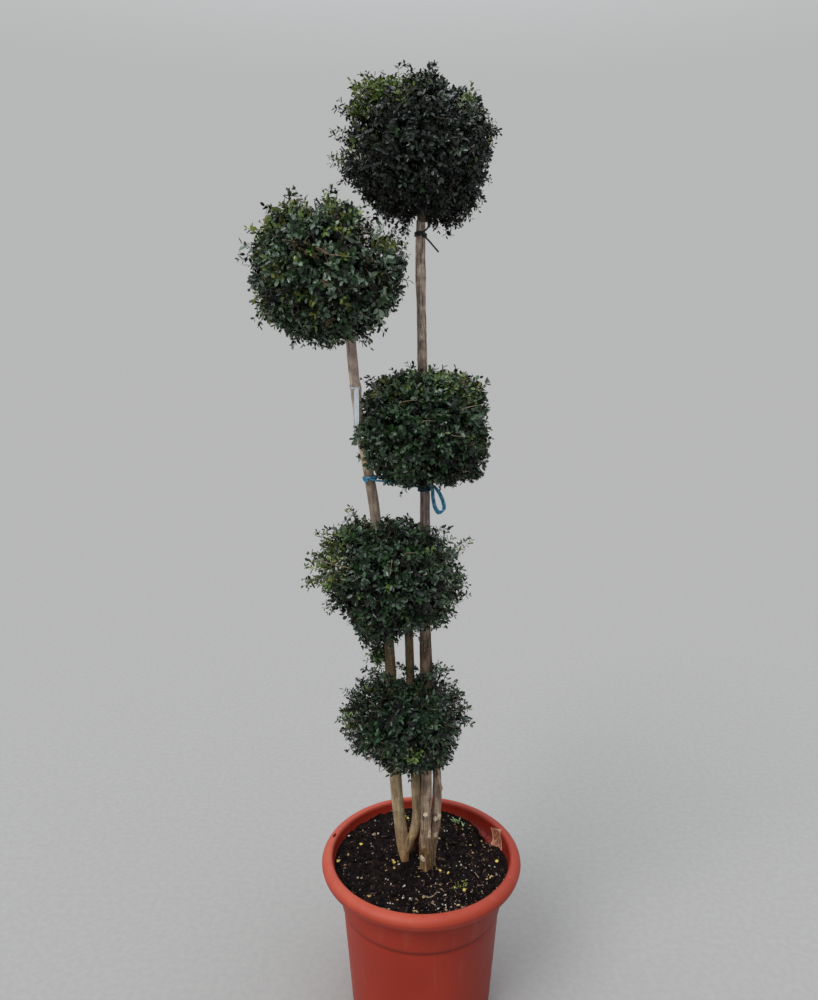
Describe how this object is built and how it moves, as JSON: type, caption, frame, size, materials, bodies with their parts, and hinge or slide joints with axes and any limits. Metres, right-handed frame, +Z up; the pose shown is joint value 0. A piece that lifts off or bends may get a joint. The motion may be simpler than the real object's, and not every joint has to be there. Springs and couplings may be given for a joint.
{
  "type": "multi-stem pompon topiary in a pot",
  "caption": "Tall potted evergreen topiary with slender stems that rise together and carry clipped balls of small leaves at stepped heights, in a round rolled-rim pot.",
  "frame": {"origin": "middle of the pot's flat underside", "axes": "+Z up along the stems; -Y towards the viewer of the picture; +X to the viewer's right"},
  "size_m": [0.6017, 0.4794, 2.1541],
  "materials": {
    "pot": "terracotta-coloured moulded plastic, satin, slightly faded and dusty",
    "soil": "dark moist potting mix with white grit, bark crumbs and fallen leaves",
    "bark": "smooth pale grey-brown bark with pruning scars",
    "leaves": "small glossy dark green leaves in clipped sprays",
    "twine": "bright blue plastic twine",
    "band": "black tree tie",
    "label": "blank white plastic loop label"
  },
  "bodies": {
    "root": {"pot": "pot", "potting_soil": "soil", "stem_to_top_ball": "bark", "stem_to_left_ball": "bark", "stem_to_right_ball": "bark", "stem_to_lower_ball": "bark", "stem_to_lowest_ball": "bark", "foliage_top_ball": "leaves", "foliage_left_ball": "leaves", "foliage_right_ball": "leaves", "foliage_lower_ball": "leaves", "foliage_lowest_ball": "leaves", "foliage_side_tuft": "leaves", "twine_tie": "twine", "black_band": "band", "blank_label": "label"}
  },
  "joints": []
}
